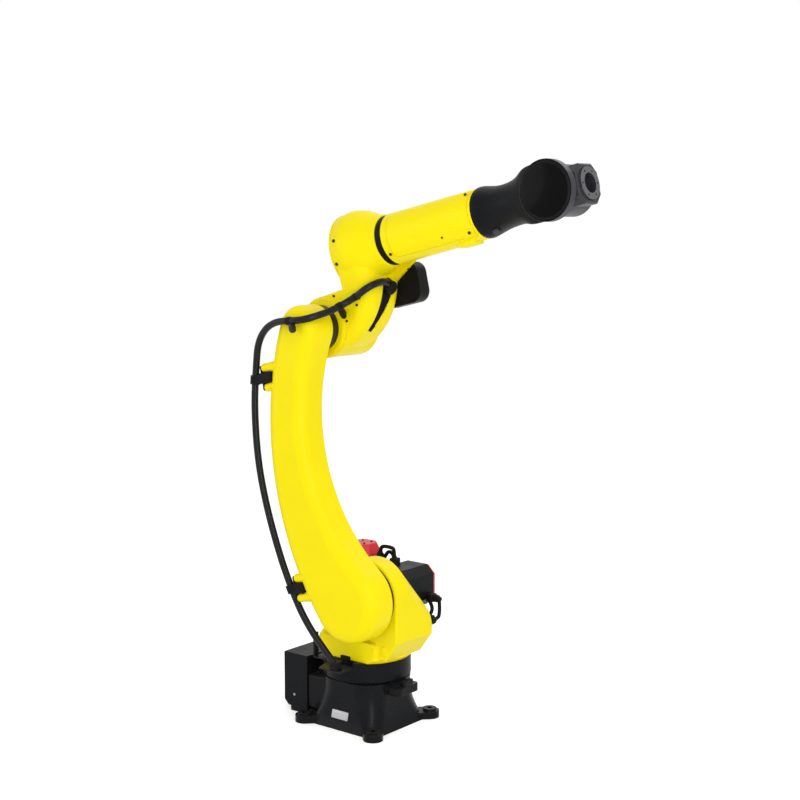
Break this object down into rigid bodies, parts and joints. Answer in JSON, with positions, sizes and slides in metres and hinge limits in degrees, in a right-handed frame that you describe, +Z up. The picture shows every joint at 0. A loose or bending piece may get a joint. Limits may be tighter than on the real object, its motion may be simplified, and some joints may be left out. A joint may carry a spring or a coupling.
{
  "type": "industrial robot arm",
  "caption": "Floor-mounted articulated industrial robot arm with a bowed upper arm, round hollow forearm, wrist and tool flange, fed by an outside conduit.",
  "frame": {"origin": "on the swivel axis, on the floor face of the base", "axes": "+X the way the arm reaches at rest, +Y the arm's left, +Z up"},
  "size_m": [1.1003, 0.42, 1.7413],
  "materials": {
    "yellow_paint": "glossy enamel over sand-cast metal",
    "black_paint": "satin black paint",
    "black_cast": "black painted casting",
    "dark_steel": "machined, lightly oiled",
    "bare_steel": "machined flange face",
    "bracket_steel": "folded sheet, plated",
    "red_plastic": "moulded motor cap",
    "black_plastic": "moulded",
    "gloss_black": "moulded, polished",
    "conduit_rubber": "smooth sleeve"
  },
  "bodies": {
    "base": {"base_casting": "black_cast", "connector_box": "black_paint", "connector_panel": "black_paint", "swivel_bearing": "dark_steel"},
    "turret": {"swivel_ring": "black_paint", "turret_casting": "yellow_paint", "shoulder_reducer": "dark_steel", "shoulder_motor": "black_paint", "shoulder_motor_cap": "red_plastic", "shoulder_motor_plug": "black_plastic", "swivel_motor": "black_paint", "swivel_motor_cap": "red_plastic", "swivel_motor_plug": "black_plastic", "conduit_bracket": "bracket_steel", "conduit_anchor": "black_plastic", "conduit_lower": "conduit_rubber"},
    "upper_arm": {"upper_arm_casting": "yellow_paint", "elbow_reducer": "dark_steel", "arm_clamp_lower": "black_plastic", "arm_clamp_upper": "black_plastic", "arm_clamp_top": "black_plastic", "conduit_arm": "conduit_rubber"},
    "elbow": {"elbow_casting": "yellow_paint", "elbow_rear_cover": "yellow_paint", "roll_band": "black_paint", "motor_cover": "black_plastic", "conduit_upper": "conduit_rubber", "elbow_clip": "black_plastic", "conduit_elbow": "conduit_rubber", "conduit_fitting": "black_plastic", "slot_seal": "black_plastic"},
    "forearm": {"forearm_tube": "yellow_paint", "side_cover_right": "yellow_paint", "side_cover_left": "yellow_paint", "wrist_housing": "black_paint", "wrist_pod_cap": "gloss_black", "wrist_bearing": "dark_steel"},
    "wrist": {"wrist_body": "black_paint"},
    "flange": {"tool_flange": "bare_steel"}
  },
  "joints": [
    {"name": "swivel", "type": "hinge", "parent": "base", "child": "turret", "pos_m": [0, 0, 0.153], "axis": [0, 0, 1], "range_deg": [-170, 170]},
    {"name": "shoulder", "type": "hinge", "parent": "turret", "child": "upper_arm", "pos_m": [0.075, 0, 0.425], "axis": [0, 1, 0], "range_deg": [-87.4, 172.6], "deforming": ["conduit_lower"]},
    {"name": "elbow", "type": "hinge", "parent": "upper_arm", "child": "elbow", "pos_m": [-0.10824, 0, 1.24477], "axis": [0, -1, 0], "range_deg": [-80, 165], "deforming": ["conduit_upper"]},
    {"name": "forearm_roll", "type": "hinge", "parent": "elbow", "child": "forearm", "pos_m": [0.12111, 0, 1.5194], "axis": [0.9736, 0, 0.2284], "range_deg": [-200, 200]},
    {"name": "wrist_bend", "type": "hinge", "parent": "forearm", "child": "wrist", "pos_m": [0.70915, 0, 1.65732], "axis": [0, 1, 0], "range_deg": [-140, 140]},
    {"name": "flange_roll", "type": "hinge", "parent": "wrist", "child": "flange", "pos_m": [0.79677, 0, 1.67787], "axis": [0.9736, 0, 0.2284], "range_deg": [-270, 270]}
  ]
}
